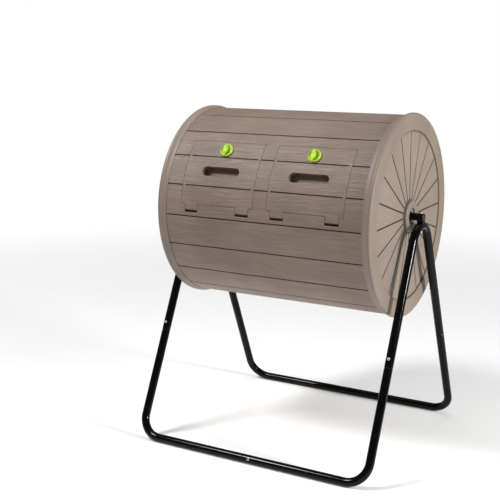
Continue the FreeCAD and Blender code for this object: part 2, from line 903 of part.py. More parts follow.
def seam_screws():
    """Screws that hold neighbouring panels together, four to a seam."""
    wall = value("flange_wall")
    screw = pan_screw(value("2 * flange_wall + screw_tip"))
    shapes = []
    for panel in range(PANELS):
        angle = value("seam_angle") + panel * PANEL_ANGLE
        for place in seam_screw_places():
            seat = Vector(value(place), wall, value("screw_ring"))
            aim = Rotation(Vector(0, 0, 1), Vector(0, -1, 0))
            shapes.append(moved(screw, drum_turn(angle), Placement(seat, aim)))
    return group("seam_screws", shapes)


def cap_screws(name, side):
    """Screws that pull one end cap onto the panels."""
    screw = pan_screw(value("flange_wall + ring_wall - cap_skin - screw_tip_gap"))
    shapes = []
    for step in range(CAP_SCREWS):
        angle = value("seam_angle") + (step + 0.5) * 360 / CAP_SCREWS
        seat = Vector(side * value("cap_inner - flange_wall"), 0, value("screw_ring"))
        aim = Rotation(Vector(0, 0, 1), Vector(side, 0, 0))
        shapes.append(moved(screw, drum_turn(angle), Placement(seat, aim)))
    return group(name, shapes)


# ------------------------------------------------------------------- stand

def frame_spine(body, name):
    """Centre line of an end frame: up one leg, round the top, down the other."""
    sketch = new_sketch(body, name + "_line", "YZ_Plane")
    lean = math.radians(LEG_LEAN)
    radius = value("bend_radius")
    middle = value("apex_middle")
    joint = value("leg_joint_height")
    spread = value("foot_spread - (leg_joint_height - tube_radius) * tan(leg_lean)")
    touch = Vector(radius * math.cos(lean), middle + radius * math.sin(lean), 0)
    mirror = Vector(-touch.x, touch.y, 0)
    circle = Part.Circle(Vector(0, middle, 0), Vector(0, 0, 1), radius)
    sketch.addGeometry(Part.LineSegment(Vector(spread, joint, 0), touch))
    sketch.addGeometry(Part.ArcOfCircle(circle, lean, math.pi - lean))
    sketch.addGeometry(Part.LineSegment(mirror, Vector(-spread, joint, 0)))
    sketch.addConstraint(Sketcher.Constraint("Tangent", 0, 2, 1, 1))
    sketch.addConstraint(Sketcher.Constraint("Tangent", 1, 2, 2, 1))
    fix_point(sketch, 1, 3, "0", "apex_middle")
    fix_radius(sketch, 1, "bend_radius")
    spread_text = "foot_spread - (leg_joint_height - tube_radius) * tan(leg_lean)"
    fix_point(sketch, 0, 1, spread_text, "leg_joint_height")
    fix_point(sketch, 2, 2, "-(%s)" % spread_text, "leg_joint_height")
    return sketch


def tube_section(body, name, spine):
    """Ring-shaped section at the start of a centre line."""
    sketch = body.newObject("Sketcher::SketchObject", name + "_section")
    sketch.AttachmentSupport = [(spine, "Edge1")]
    sketch.MapMode = "NormalToEdge"
    sketch.MapPathParameter = 0.0
    for radius in ("tube_radius", "tube_radius - tube_wall"):
        circle = Part.Circle(Vector(0, 0, 0), Vector(0, 0, 1), value(radius))
        number = sketch.addGeometry(circle)
        sketch.addConstraint(Sketcher.Constraint("Coincident", number, 3, -1, 1))
        fix_radius(sketch, number, radius)
    return sketch


def swept_tube(body, name, spine):
    doc.recompute()
    section = tube_section(body, name, spine)
    doc.recompute()
    pipe = body.newObject("PartDesign::AdditivePipe", name + "_tube")
    pipe.Profile = section
    pipe.Spine = (spine, [])
    spine.Visibility = False
    section.Visibility = False
    return pipe


def button_seat(side, front):
    """Where a leg button enters its tube, facing away from the drum."""
    lean = math.radians(LEG_LEAN)
    along = value("leg_length + button_reach")
    height = value("tube_radius") + along * math.cos(lean)
    depth = value("foot_spread") - along * math.sin(lean)
    facing = Vector(0, front * math.cos(lean), math.sin(lean))
    seat = Vector(side * value("frame_plane"), front * depth, height)
    return seat, facing


def a_frame(name, side):
    """Bent tube: two leaning legs and the bend that carries the axle."""
    body = new_body(name)
    spine = frame_spine(body, name)
    swept_tube(body, name, spine)
    bolt = circles(
        body, name + "_bolt", "XY_Plane", [("0", "0")], ["bolt_radius + bolt_play"],
        shifted(value("apex_top")),
    )
    pushed(body, bolt, name + "_bolt_cut", "4 * tube_radius", cut=True, both_ways=True)
    for tag, front in (("front", -1), ("rear", 1)):
        seat, facing = button_seat(0, front)
        plane = Placement(seat, Rotation(Vector(0, 0, 1), facing))
        hole = circles(
            body, name + "_" + tag, "XY_Plane", [("0", "0")],
            ["button_stem + socket_play"], plane,
        )
        pushed(
            body, hole, name + "_" + tag + "_cut", "tube_radius + beyond", cut=True,
            reverse=True,
        )
    body.Placement = Placement(Vector(side * value("frame_plane"), 0, 0), Rotation())
    body.setExpression("Placement.Base.x", bound("%d * frame_plane" % side))
    return body


def corner_axes(side, front):
    """Local axes of a base corner: along the ground, up the leg, outwards."""
    lean = math.radians(LEG_LEAN)
    inward = Vector(-side, 0, 0)
    upward = Vector(0, -front * math.sin(lean), math.cos(lean))
    return inward, upward, inward.cross(upward)


def swaged_end(body, name, axis, length):
    """Narrowed tube end that slides into the next tube."""
    along = [
        ("%s - neck_length" % length, "tube_radius"),
        ("%s - joint_gap" % length, "swage_radius"),
        ("%s + socket_depth" % length, "swage_radius"),
        ("%s + socket_depth" % length, "swage_radius - tube_wall"),
        ("%s - joint_gap" % length, "swage_radius - tube_wall"),
        ("%s - neck_length" % length, "tube_radius - tube_wall"),
    ]
    if axis == "V_Axis":
        along = [(second, first) for first, second in along]
    profile = outline(body, name + "_profile", "XY_Plane", along)
    feature = body.newObject("PartDesign::Revolution", name)
    feature.Profile = profile
    feature.ReferenceAxis = (profile, [axis])
    feature.Angle = 360
    profile.Visibility = False


def base_corner(name, side, front):
    """Ground tube with the bend and stub that a frame leg slides onto."""
    body = new_body(name)
    swaged = side < 0
    run = "frame_plane - (%d) * base_joint_shift" % side
    tube_run = run + " - neck_length" if swaged else run
    tube_leg = "leg_length - neck_length"
    spine = new_sketch(body, name + "_line", "XY_Plane")
    radius = value("bend_radius")
    circle = Part.Circle(Vector(radius, radius, 0), Vector(0, 0, 1), radius)
    spine.addGeometry(Part.LineSegment(Vector(0, value(tube_leg), 0), Vector(0, radius, 0)))
    spine.addGeometry(Part.ArcOfCircle(circle, math.pi, 1.5 * math.pi))
    spine.addGeometry(Part.LineSegment(Vector(radius, 0, 0), Vector(value(tube_run), 0, 0)))
    spine.addConstraint(Sketcher.Constraint("Tangent", 0, 2, 1, 1))
    spine.addConstraint(Sketcher.Constraint("Tangent", 1, 2, 2, 1))
    fix_radius(spine, 1, "bend_radius")
    fix_point(spine, 1, 3, "bend_radius", "bend_radius")
    fix_point(spine, 0, 1, "0", tube_leg)
    fix_point(spine, 2, 2, tube_run, "0")
    swept_tube(body, name, spine)
    swaged_end(body, name + "_leg_stub", "V_Axis", "leg_length")
    if swaged:
        swaged_end(body, name + "_base_stub", "H_Axis", run)
    inward, upward, outward = corner_axes(side, front)
    facing = 1 if outward.y * front > 0 else -1
    aim = Rotation(Vector(0, 0, 1), Vector(0, 0, facing))
    base_reach = "button_reach - base_button_shift"
    base_place = "(%s) + %s" % (run, base_reach)
    if not swaged:
        base_place = "(%s) - (%s)" % (run, base_reach)
    for tag, x_text, y_text in (("leg", "0", "leg_length + button_reach"),
                                ("base", base_place, "0")):
        middle = Vector(value(x_text), value(y_text), 0)
        hole = circles(
            body, "%s_%s_hole" % (name, tag), "XY_Plane", [("0", "0")],
            ["button_stem + socket_play"], Placement(middle, aim),
        )
        pushed(
            body, hole, "%s_%s_cut" % (name, tag), "tube_radius + beyond", cut=True,
            reverse=True,
        )
    corner = Vector(
        side * value("frame_plane"), front * value("foot_spread"), value("tube_radius")
    )
    body.Placement = Placement(corner, Rotation(inward, upward, outward, "ZXY"))
    return body


def button(reach):
    """Domed stud along Z; its stem starts at z = 0 and points down."""
    gap = value("button_gap")
    top = value("button_gap + button_head")
    stem = Part.makeCylinder(value("button_stem"), reach + 2 * gap, Vector(0, 0, -reach))
    head = Part.makeCylinder(value("button_radius"), top - gap, Vector(0, 0, gap))
    rim = [edge for edge in head.Edges if edge.BoundBox.ZMin > top - TOLERANCE]
    return stem.fuse(head.makeFillet(value("button_round"), rim)).removeSplitter()


def joint_buttons():
    """Studs that lock the six tube joints."""
    tube = value("tube_radius")
    stud = button(value("button_length"))
    shapes = []
    for side in (-1, 1):
        for front in (-1, 1):
            seat, facing = button_seat(side, front)
            aim = Rotation(Vector(0, 0, 1), facing)
            shapes.append(moved(stud, Placement(seat + facing * tube, aim)))
    legs = group("leg_buttons", shapes)
    shapes = []
    lean = math.radians(LEG_LEAN)
    for front in (-1, 1):
        facing = Vector(0, front * math.cos(lean), math.sin(lean))
        place = value("base_joint_shift + button_reach - base_button_shift")
        seat = Vector(place, front * value("foot_spread"), tube)
        aim = Rotation(Vector(0, 0, 1), facing)
        shapes.append(moved(stud, Placement(seat + facing * tube, aim)))
    return legs, group("base_buttons", shapes)


def axle_tube():
    """Fixed tube from one end frame to the other, bolted down at both."""
    body = new_body("axle_tube")
    section = circles(
        body, "axle_section", "YZ_Plane", [("0", "0")],
        ["axle_radius", "axle_radius - axle_wall"],
    )
    pushed(body, section, "axle_length", "2 * (axle_end - plug_head)", both_ways=True)
    for tag, side in (("left", -1), ("right", 1)):
        middle = Vector(side * value("frame_plane"), 0, 0)
        hole = circles(
            body, "axle_hole_" + tag, "XY_Plane", [("0", "0")], ["bolt_radius + bolt_play"],
            Placement(middle, Rotation()),
        )
        pushed(body, hole, "axle_cut_" + tag, "4 * axle_radius", cut=True, both_ways=True)
    on_drum(body)
    return body


def axle_plug(name, flipped):
    """Moulded plug that closes an open end of the axle."""
    body = new_body(name)
    stem = "axle_radius - axle_wall - plug_play"
    profile = outline(body, name + "_profile", "XZ_Plane", [
        ("axle_end", "0"),
        ("axle_end", "axle_radius - plug_bevel"),
        ("axle_end - plug_bevel", "axle_radius"),
        ("axle_end - plug_head", "axle_radius"),
        ("axle_end - plug_head", stem),
        ("axle_end - plug_head - plug_stem", stem),
        ("axle_end - plug_head - plug_stem", "0"),
    ])
    spun(body, profile, name + "_solid")
    on_drum(body, 90.0, "0", flipped)
    return body


def axle_saddle(name, side):
    """Small cradle between the top of a bend and the axle."""
    tube = value("tube_radius")
    top = value("apex_top")
    length = value("saddle_length")
    width = value("2 * axle_radius - saddle_edge")
    height = value("axle_height - saddle_drop")
    block = Part.makeBox(
        length, width, height - top, Vector(-length / 2, -width / 2, top)
    )
    axle = Part.makeCylinder(
        value("axle_radius"), 2 * length,
        Vector(-length, 0, value("axle_height")), Vector(1, 0, 0),
    )
    bend = Part.makeTorus(
        value("bend_radius"), tube, Vector(0, 0, value("apex_middle")), Vector(1, 0, 0)
    )
    bolt = Part.makeCylinder(
        value("bolt_radius + bolt_play"), 4 * length, Vector(0, 0, top - 2 * length)
    )
    saddle = block.cut(axle).cut(bend).cut(bolt)
    feature = doc.addObject("Part::Feature", name)
    feature.Label = name
    feature.Shape = Part.makeCompound(saddle.Solids) if len(saddle.Solids) > 1 else saddle
    feature.Placement = Placement(Vector(side * value("frame_plane"), 0, 0), Rotation())
    return feature


def axle_bolts():
    """Bolts down through the axle, the saddle and the bend, with their nuts."""
    shank = value("bolt_radius")
    seat = value("axle_height + axle_radius")
    under = value("apex_top - tube_radius - nut_drop")
    nut_height = value("nut_height")
    length = seat - under + nut_height + value("bolt_tip")
    bolt = Part.makeCylinder(shank, length, Vector(0, 0, seat - length))
    head = Part.makeCylinder(2 * shank, value("bolt_head_height"), Vector(0, 0, seat))
    rim = [edge for edge in head.Edges if edge.BoundBox.ZMin > seat + shank]
    bolt = bolt.fuse(head.makeFillet(shank, rim)).removeSplitter()
    corners = []
    for step in range(7):
        turn = math.radians(60 * step)
        corners.append(Vector(2 * shank * math.cos(turn), 2 * shank * math.sin(turn), 0))
    nut = Part.Face(Part.makePolygon(corners)).extrude(Vector(0, 0, nut_height))
    nut = nut.cut(Part.makeCylinder(shank, nut_height))
    bolts = []
    nuts = []
    for side in (-1, 1):
        place = Placement(Vector(side * value("frame_plane"), 0, 0), Rotation())
        drop = Placement(Vector(0, 0, under - nut_height), Rotation())
        bolts.append(moved(bolt, place))
        nuts.append(moved(nut, place, drop))
    return group("axle_bolts", bolts), group("axle_nuts", nuts)


# ------------------------------------------------------------------- build

NODES = [
    a_frame("a_frame_left", -1),
    a_frame("a_frame_right", 1),
    base_corner("base_front_left", -1, -1),
    base_corner("base_front_right", 1, -1),
    base_corner("base_rear_left", -1, 1),
    base_corner("base_rear_right", 1, 1),
    axle_tube(),
    axle_plug("axle_plug_left", True),
    axle_plug("axle_plug_right", False),
    axle_saddle("axle_saddle_left", -1),
    axle_saddle("axle_saddle_right", 1),
    end_cap("end_cap_left", True),
    end_cap("end_cap_right", False),
    hub_bushing("hub_bushing_left", True),
    hub_bushing("hub_bushing_right", False),
    door_panel(),
    plain_panel("shell_panel_top", 1),
    plain_panel("shell_panel_back", 2),
    plain_panel("shell_panel_bottom", 3),
    plain_panel("shell_panel_front", 4),
    divider(),
    hinge_pin("hinge_pin_left", "-door_center"),
    hinge_pin("hinge_pin_right", "door_center"),
    door("door_left", "-door_center"),
    door("door_right", "door_center"),
    knob("knob_left", "-door_center"),
    knob("knob_right", "door_center"),
    latch_cam("latch_cam_left", "-door_center"),
    latch_cam("latch_cam_right", "door_center"),
    latch_screw("latch_screw_left", "-door_center"),
    latch_screw("latch_screw_right", "door_center"),
    seam_screws(),
    cap_screws("cap_screws_left", -1),
    cap_screws("cap_screws_right", 1),
]
NODES.extend(joint_buttons())
NODES.extend(axle_bolts())
doc.recompute()

for item in doc.Objects:
    if "Invalid" in item.State or "Error" in item.State:
        raise RuntimeError("%s did not build: %s" % (item.Name, item.State))

os.makedirs("parts", exist_ok=True)
for node in NODES:
    if node.Shape.isNull() or not node.Shape.isValid():
        raise RuntimeError("%s has no valid shape" % node.Label)
    node.Shape.exportStep(os.path.join("parts", node.Label + ".step"))
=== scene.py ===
import json
import math

import bmesh
import bpy
from mathutils import Matrix, Vector


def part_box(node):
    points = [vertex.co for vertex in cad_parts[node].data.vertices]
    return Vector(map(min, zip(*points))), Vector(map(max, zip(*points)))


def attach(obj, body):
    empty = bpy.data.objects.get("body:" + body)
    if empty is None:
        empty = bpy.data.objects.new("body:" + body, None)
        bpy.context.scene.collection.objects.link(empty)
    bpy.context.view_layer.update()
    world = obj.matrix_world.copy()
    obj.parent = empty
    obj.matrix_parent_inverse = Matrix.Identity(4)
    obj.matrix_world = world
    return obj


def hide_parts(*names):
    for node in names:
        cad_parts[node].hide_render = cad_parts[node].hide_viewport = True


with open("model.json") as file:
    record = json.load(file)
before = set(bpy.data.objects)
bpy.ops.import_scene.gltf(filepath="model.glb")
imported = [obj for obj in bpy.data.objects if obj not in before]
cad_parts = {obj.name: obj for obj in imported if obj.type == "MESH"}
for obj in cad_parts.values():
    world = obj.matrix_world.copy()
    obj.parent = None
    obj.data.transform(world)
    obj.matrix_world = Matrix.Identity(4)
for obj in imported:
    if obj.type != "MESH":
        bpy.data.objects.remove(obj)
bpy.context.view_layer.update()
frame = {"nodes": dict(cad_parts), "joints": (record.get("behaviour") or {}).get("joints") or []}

# ------------------------------------------------------------------ sizes

NODES = frame["nodes"]
JOINTS = {joint["name"]: joint for joint in frame["joints"]}
AXLE_HEIGHT = JOINTS["drum_spin"]["pos_m"][2]
CAP_LOW, CAP_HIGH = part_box("end_cap_right")
DRUM_RADIUS = (CAP_HIGH.y - CAP_LOW.y) / 2
CAP_LIP = 0.007
RING_WIDTH = 0.050
DISC_RADIUS = DRUM_RADIUS - RING_WIDTH
SHELL_RADIUS = DRUM_RADIUS - CAP_LIP
HUB_RADIUS = 0.046
HUB_HEIGHT = 0.010
HUB_FACE = CAP_HIGH.x
DISC_FACE = HUB_FACE - HUB_HEIGHT
PLANK_ANGLE = math.radians(18)
FIRST_GROOVE = math.radians(16)
SPOKE_GRAIN_RADIUS = 0.17

# Depth below the shell where the painted shade in a plank groove starts, is full, and ends.
GROOVE_TOP = 0.0002
GROOVE_FULL = 0.0010
GROOVE_END = 0.0027
GROOVE_GONE = 0.0034
# The same below the sunk face of an end cap, for its spokes.
SPOKE_TOP = 0.0001
SPOKE_FULL = 0.0006
SPOKE_GONE = 0.0030
# Reach of the painted shade beside a spoke and beside the recess and hub edges.
SPOKE_SHADE_REACH = 0.0032
CIRCLE_SHADE_REACH = 0.0034
CIRCLE_INSET = 0.002
SHADE_HEIGHT = 0.003

FLOOR_RADIUS = 4.0
FLOOR_FADE_START = 0.9
FLOOR_FADE_END = FLOOR_RADIUS * 0.95
FLOOR_GLOW = 0.12
FLOOR_SEGMENTS = 64

CAMERA_TURN = math.radians(29.90)
CAMERA_TILT = math.radians(11.12)
CAMERA_ROLL = math.radians(0.44)
CAMERA_PLACE = Vector((1.3665, -2.7157, 1.1716))
CAMERA_LENS = 71.45
CAMERA_SENSOR = 36.0


# ---------------------------------------------------------- shader helpers

class Shader:
    """A node material that is built one named step at a time."""

    def __init__(self, name):
        self.material = bpy.data.materials.new(name)
        self.material.use_nodes = True
        self.tree = self.material.node_tree
        self.surface = self.tree.nodes["Principled BSDF"]

    def add(self, kind, links=None, **settings):
        node = self.tree.nodes.new(kind)
        for key, item in settings.items():
            setattr(node, key, item)
        for socket, item in (links or {}).items():
            self.put(node.inputs[socket], item)
        return node

    def put(self, socket, item):
        if isinstance(item, bpy.types.NodeSocket):
            self.tree.links.new(item, socket)
        else:
            socket.default_value = item

    def math(self, operation, first, second=0.0, third=0.0):
        node = self.add("ShaderNodeMath", operation=operation)
        self.put(node.inputs[0], first)
        self.put(node.inputs[1], second)
        self.put(node.inputs[2], third)
        return node.outputs[0]

    def span(self, item, low, high, out_low=0.0, out_high=1.0):
        links = {
            "Value": item, "From Min": low, "From Max": high,
            "To Min": out_low, "To Max": out_high,
        }
        node = self.add("ShaderNodeMapRange", links)
        node.clamp = True
        return node.outputs["Result"]

    def place(self, x, y, z):
        return self.add("ShaderNodeCombineXYZ", {"X": x, "Y": y, "Z": z}).outputs[0]

    def noise(self, vector, scale, detail=4.0, rough=0.55, distortion=0.0):
        links = {
            "Vector": vector, "Scale": scale, "Detail": detail, "Roughness": rough,
            "Distortion": distortion,
        }
        return self.add("ShaderNodeTexNoise", links).outputs["Fac"]

    def ramp(self, item, stops):
        node = self.add("ShaderNodeValToRGB", {"Fac": item})
        band = node.color_ramp
        while len(band.elements) < len(stops):
            band.elements.new(0.5)
        for element, (place, color) in zip(band.elements, stops):
            element.position = place
            element.color = (*color, 1.0)
        return node.outputs["Color"]

    def blend(self, amount, first, second, mode="MIX"):
        node = self.add("ShaderNodeMix", data_type="RGBA", blend_type=mode)
        self.put(node.inputs[0], amount)
        self.put(node.inputs[6], first)
        self.put(node.inputs[7], second)
        return node.outputs[2]

    def object_point(self):
        return self.add("ShaderNodeTexCoord").outputs["Object"]

    def split(self, vector):
        return self.add("ShaderNodeSeparateXYZ", {"Vector": vector}).outputs

    def soft_edges(self, radius):
        """Normal of the surface with its sharp edges rounded."""
        node = self.add("ShaderNodeBevel", {"Radius": radius})
        node.samples = 6
        return node.outputs["Normal"]

    def edge_mask(self, radius):
        """One on a sharp edge, falling to zero inside the given distance."""
        bevel = self.soft_edges(radius)
        true_normal = self.add("ShaderNodeNewGeometry").outputs["Normal"]
        dot = self.add("ShaderNodeVectorMath", operation="DOT_PRODUCT")
        self.put(dot.inputs[0], bevel)
        self.put(dot.inputs[1], true_normal)
        return self.span(dot.outputs["Value"], 0.995, 0.86)

    def bump(self, height, distance, strength=1.0, normal=None):
        links = {"Height": height, "Distance": distance, "Strength": strength}
        node = self.add("ShaderNodeBump", links)
        if normal is not None:
            self.put(node.inputs["Normal"], normal)
        return node.outputs["Normal"]

    def finish(self, **sockets):
        for name, item in sockets.items():
            self.put(self.surface.inputs[name.replace("_", " ")], item)
        return self.material


def drum_place(shader):
    """Length along the drum, angle round it and distance from its axle."""
    point = shader.split(shader.object_point())
    rise = shader.math("SUBTRACT", point["Z"], AXLE_HEIGHT)
    front = shader.math("MULTIPLY", point["Y"], -1.0)
    angle = shader.math("ARCTAN2", rise, front)
    squares = shader.math("ADD", shader.math("POWER", rise, 2.0),
                          shader.math("POWER", point["Y"], 2.0))
    return point["X"], angle, shader.math("SQRT", squares)


def beside_groove(shader, angle, radius, reach):
    """One next to the nearest groove line, falling to zero at the reach."""
    turned = shader.math("SUBTRACT", angle, FIRST_GROOVE)
    apart = shader.math("PINGPONG", turned, PLANK_ANGLE / 2)
    return shader.span(shader.math("MULTIPLY", apart, radius), reach / 2, reach, 1.0, 0.0)


def beside_circle(shader, radius, circle, reach):
    """One on a circle round the axle, falling to zero at the reach."""
    apart = shader.math("ABSOLUTE", shader.math("SUBTRACT", radius, circle))
    return shader.span(apart, reach / 3, reach, 1.0, 0.0)


# How often each layer of the wood grain repeats, per metre along and across a plank.
WANDER_ALONG, WANDER_ACROSS = 5.0, 16.0
FIBRE_ALONG, FIBRE_ACROSS = 14.0, 420.0
PATCH_ALONG, PATCH_ACROSS = 9.0, 30.0
GROWTH_LINES = 150.0
GROWTH_WANDER = 9.0
FIBRE_SHARE = 0.55
GROWTH_SHARE = 0.45


def stretched_noise(shader, along, across, seed, rates, *settings):
    """Noise that is long along a plank and short across it."""
    rate_along, rate_across = rates
    spot = shader.place(
        shader.math("MULTIPLY", along, rate_along),
        shader.math("MULTIPLY", across, rate_across),
        seed,
    )
    return shader.noise(spot, 1.0, *settings)


def wood_height(shader, along, across, seed):
    """Embossed grain: long fibres, and wavy growth lines that come and go."""
    wander = stretched_noise(
        shader, along, across, seed, (WANDER_ALONG, WANDER_ACROSS), 2.0
    )
    lines = shader.math("MULTIPLY", across, GROWTH_LINES)
    lines = shader.math("ADD", lines, shader.math("MULTIPLY", wander, GROWTH_WANDER))
    growth = shader.math("PINGPONG", lines, 1.0)
    growth = shader.span(growth, 0.05, 0.75)
    fibre = stretched_noise(
        shader, along, across, seed, (FIBRE_ALONG, FIBRE_ACROSS), 5.0, 0.62, 0.35
    )
    fibre = shader.span(fibre, 0.36, 0.62)
    patches = stretched_noise(
        shader, along, across, seed, (PATCH_ALONG, PATCH_ACROSS), 2.0
    )
    patches = shader.span(patches, 0.42, 0.62)
    growth = shader.math("MULTIPLY", growth, patches)
    return shader.math("ADD", shader.math("MULTIPLY", fibre, FIBRE_SHARE),
                       shader.math("MULTIPLY", growth, GROWTH_SHARE))


GRAIN_TONE_SHARE = 0.3
CLOUD_TONE_SHARE = 0.7
SKIN_RELIEF = 0.00012


def mixed_tone(shader, grain, cloud):
    """Mostly a slow cloud, with some of the grain in it."""
    return shader.math("ADD", shader.math("MULTIPLY", grain, GRAIN_TONE_SHARE),
                       shader.math("MULTIPLY", cloud, CLOUD_TONE_SHARE))


def brightened(color, factor, lift=0.0):
    return (*(min(1.0, channel * factor + lift) for channel in color), 1.0)


def darkened(color, factor):
    return (*(channel * factor for channel in color), 1.0)


def painted_edge_highlight(shader, color, paler, radius, amount):
    """A color with its sharp edges painted a little paler, as a painted highlight."""
    edge = shader.edge_mask(radius)
    return shader.blend(shader.math("MULTIPLY", edge, amount), color, paler)


def moulded_speck(shader, scale=900.0):
    """Fine skin of a moulded surface."""
    return shader.noise(shader.object_point(), scale, 3.0, 0.6)


def grained_plastic(name, dark, light, offset):
    """Taupe moulded plastic with a wood grain pressed into each plank, painted shade in its
    grooves and a painted highlight on sharp edges.
    """
    shader = Shader(name)
    along, angle, radius = drum_place(shader)
    turned = shader.math("SUBTRACT", angle, FIRST_GROOVE)
    plank = shader.math("FLOOR", shader.math("DIVIDE", turned, PLANK_ANGLE))
    seed = shader.math("MULTIPLY_ADD", plank, 7.31, offset)
    across = shader.math("MULTIPLY", angle, SHELL_RADIUS)
    grain = wood_height(shader, along, across, seed)
    cloud = shader.noise(shader.object_point(), 5.0, 3.0)
    tone = mixed_tone(shader, grain, cloud)
    color = shader.ramp(tone, [(0.25, dark), (0.70, light)])
    # Sharp edges painted paler: a painted highlight.
    color = painted_edge_highlight(shader, color, brightened(light, 1.35), 0.0016, 0.35)
    # Painted shade in the plank grooves: the colour is darkened below the shell face.
    sunk = shader.span(radius, SHELL_RADIUS - GROOVE_TOP, SHELL_RADIUS - GROOVE_FULL)
    not_inside = shader.span(radius, SHELL_RADIUS - GROOVE_GONE, SHELL_RADIUS - GROOVE_END)
    painted_shade = shader.math("MULTIPLY", sunk, not_inside)
    color = shader.blend(shader.math("MULTIPLY", painted_shade, 0.92), color, darkened(dark, 0.10))
    rough = shader.span(grain, 0.0, 1.0, 0.54, 0.42)
    fine = moulded_speck(shader)
    normal = shader.bump(fine, SKIN_RELIEF, 0.5, shader.soft_edges(0.0012))
    normal = shader.bump(grain, 0.0009, 0.9, normal)
    return shader.finish(Base_Color=color, Roughness=rough, Normal=normal,
                         Specular_IOR_Level=0.5)


def cap_plastic(name, dark, light):
    """Plain satin ring with a grained, sunk face; painted shade in and beside its spokes and
    along the recess and hub edges.
    """
    shader = Shader(name)
    along, angle, radius = drum_place(shader)
    spoke = shader.math("FLOOR", shader.math(
        "DIVIDE", shader.math("SUBTRACT", angle, FIRST_GROOVE), PLANK_ANGLE))
    across = shader.math("MULTIPLY", angle, SPOKE_GRAIN_RADIUS)
    seed = shader.math("MULTIPLY_ADD", spoke, 5.17, 2.0)
    grain = wood_height(shader, radius, across, seed)
    inside = shader.span(radius, DISC_RADIUS - 0.002, DISC_RADIUS - 0.004)
    outside_hub = shader.span(radius, HUB_RADIUS + 0.001, HUB_RADIUS + 0.003)
    grain_here = shader.math("MULTIPLY", grain, shader.math("MULTIPLY", inside, outside_hub))
    cloud = shader.noise(shader.object_point(), 6.0, 3.0)
    tone = mixed_tone(shader, grain_here, cloud)
    color = shader.ramp(tone, [(0.25, dark), (0.65, light)])
    # Sharp edges painted paler: a painted highlight.
    color = painted_edge_highlight(shader, color, brightened(light, 1.3), 0.002, 0.4)
    # Painted shade in the spokes below the sunk face.
    depth = shader.math("ABSOLUTE", along)
    sunk = shader.span(depth, DISC_FACE - SPOKE_TOP, DISC_FACE - SPOKE_FULL)
    on_face = shader.math("MULTIPLY", inside, outside_hub)
    not_back = shader.math("GREATER_THAN", depth, DISC_FACE - SPOKE_GONE)
    painted_shade = shader.math("MULTIPLY", shader.math("MULTIPLY", sunk, on_face), not_back)
    # Painted shadow beside each spoke.
    spoke_shade = shader.math("MULTIPLY", beside_groove(shader, angle, radius, SPOKE_SHADE_REACH), on_face)
    painted_shade = shader.math("MAXIMUM", painted_shade, shader.math("MULTIPLY", spoke_shade, 0.75))
    # Painted shadow along the recess edge and round the hub.
    edge_shade = shader.math(
        "MAXIMUM",
        beside_circle(shader, radius, DISC_RADIUS - CIRCLE_INSET, CIRCLE_SHADE_REACH),
        beside_circle(shader, radius, HUB_RADIUS + CIRCLE_INSET, CIRCLE_SHADE_REACH),
    )
    near_face = shader.math("LESS_THAN", depth, DISC_FACE + SHADE_HEIGHT)
    edge_shade = shader.math("MULTIPLY", edge_shade, near_face)
    painted_shade = shader.math("MAXIMUM", painted_shade, shader.math("MULTIPLY", edge_shade, 0.60))
    color = shader.blend(shader.math("MULTIPLY", painted_shade, 0.95), color, darkened(dark, 0.07))
    rough = shader.span(cloud, 0.3, 0.7, 0.52, 0.44)
    fine = moulded_speck(shader, 700.0)
    normal = shader.bump(fine, SKIN_RELIEF, 0.5, shader.soft_edges(0.0015))
    normal = shader.bump(grain_here, 0.0005, 0.8, normal)
    return shader.finish(Base_Color=color, Roughness=rough, Normal=normal,
                         Specular_IOR_Level=0.45)


def black_coat(name, base, rough_low, rough_high, coat):
    """Powder-coated steel: slight orange peel, dust and a painted highlight on sharp edges."""
    shader = Shader(name)
    peel = shader.noise(shader.object_point(), 420.0, 2.0, 0.5)
    dust = shader.noise(shader.object_point(), 9.0, 5.0, 0.6)
    dust = shader.span(dust, 0.52, 0.78, 0.0, 0.30)
    color = shader.blend(dust, (*base, 1.0), (0.006, 0.006, 0.006, 1.0))
    # Sharp edges painted paler: a painted highlight.
    color = painted_edge_highlight(shader, color, (0.16, 0.155, 0.15, 1.0), 0.0009, 0.5)
    rough = shader.span(shader.noise(shader.object_point(), 35.0, 3.0), 0.3, 0.7,
                        rough_low, rough_high)
    normal = shader.bump(peel, 0.00008, 0.5, shader.soft_edges(0.0006))
    return shader.finish(Base_Color=color, Roughness=rough, Normal=normal,
                         Specular_IOR_Level=0.08, Coat_Weight=coat,
                         Coat_Roughness=0.08, Coat_IOR=1.3)


def plated_steel(name):
    """Bright fasteners with a faint swirl in the plating."""
    shader = Shader(name)
    swirl = shader.noise(shader.object_point(), 260.0, 4.0, 0.6, 0.4)
    color = shader.ramp(swirl, [(0.3, (0.42, 0.42, 0.41)), (0.7, (0.66, 0.66, 0.64))])
    rough = shader.span(swirl, 0.3, 0.7, 0.24, 0.42)
    normal = shader.bump(swirl, 0.00006, 0.6, shader.soft_edges(0.0004))
    return shader.finish(Base_Color=color, Metallic=1.0, Roughness=rough, Normal=normal)


def drawn_rod(name):
    """Steel rod with fine streaks along its length."""
    shader = Shader(name)
    point = shader.split(shader.object_point())
    streak = shader.noise(shader.place(
        shader.math("MULTIPLY", point["X"], 12.0), shader.math("MULTIPLY", point["Y"], 900.0),
        shader.math("MULTIPLY", point["Z"], 900.0)), 1.0, 4.0)
    color = shader.ramp(streak, [(0.3, (0.36, 0.36, 0.35)), (0.7, (0.6, 0.6, 0.58))])
    rough = shader.span(streak, 0.3, 0.7, 0.28, 0.48)
    normal = shader.bump(streak, 0.00005, 0.5)
    return shader.finish(Base_Color=color, Metallic=1.0, Roughness=rough, Normal=normal)


